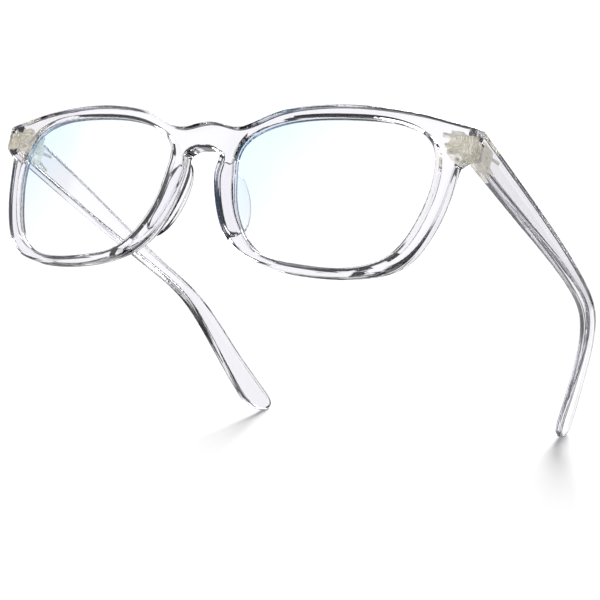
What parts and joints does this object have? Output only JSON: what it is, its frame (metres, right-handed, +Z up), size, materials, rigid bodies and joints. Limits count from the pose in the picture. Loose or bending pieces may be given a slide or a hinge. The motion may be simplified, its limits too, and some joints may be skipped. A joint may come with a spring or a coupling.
{
  "type": "blue light glasses",
  "caption": "Clear-framed glasses with a wrapped front, keyhole bridge, bonded nose pads, faintly blue lenses and fold-in arms with bent ear ends.",
  "frame": {"origin": "middle of the bounding box on the table it rests on, rims and arm tips down", "axes": "+X to the wearer's left, -Y the way the wearer looks, +Z up"},
  "size_m": [0.142, 0.1308, 0.0433],
  "materials": {
    "clear_plastic": "polished clear plastic with a faint lilac tint",
    "lens_coated": "clear lens with a faint blue coating",
    "hinge_metal": "cream nickel silver, lightly brushed",
    "screw_metal": "plain steel"
  },
  "bodies": {
    "front": {"front_frame": "clear_plastic", "left_lens": "lens_coated", "right_lens": "lens_coated", "left_nose_pad": "clear_plastic", "right_nose_pad": "clear_plastic", "left_front_hinge": "hinge_metal", "right_front_hinge": "hinge_metal", "left_hinge_screw": "screw_metal", "right_hinge_screw": "screw_metal"},
    "left_arm": {"left_temple": "clear_plastic", "left_temple_hinge": "hinge_metal"},
    "right_arm": {"right_temple": "clear_plastic", "right_temple_hinge": "hinge_metal"}
  },
  "joints": [
    {"name": "left_fold", "type": "hinge", "parent": "front", "child": "left_arm", "pos_m": [0.0649, -0.05156, 0.03334], "axis": [0, 0.0861, 0.9963], "range_deg": [0, 82.5]},
    {"name": "right_fold", "type": "hinge", "parent": "front", "child": "right_arm", "pos_m": [-0.0649, -0.05156, 0.03334], "axis": [0, -0.0861, -0.9963], "range_deg": [0, 75]}
  ]
}
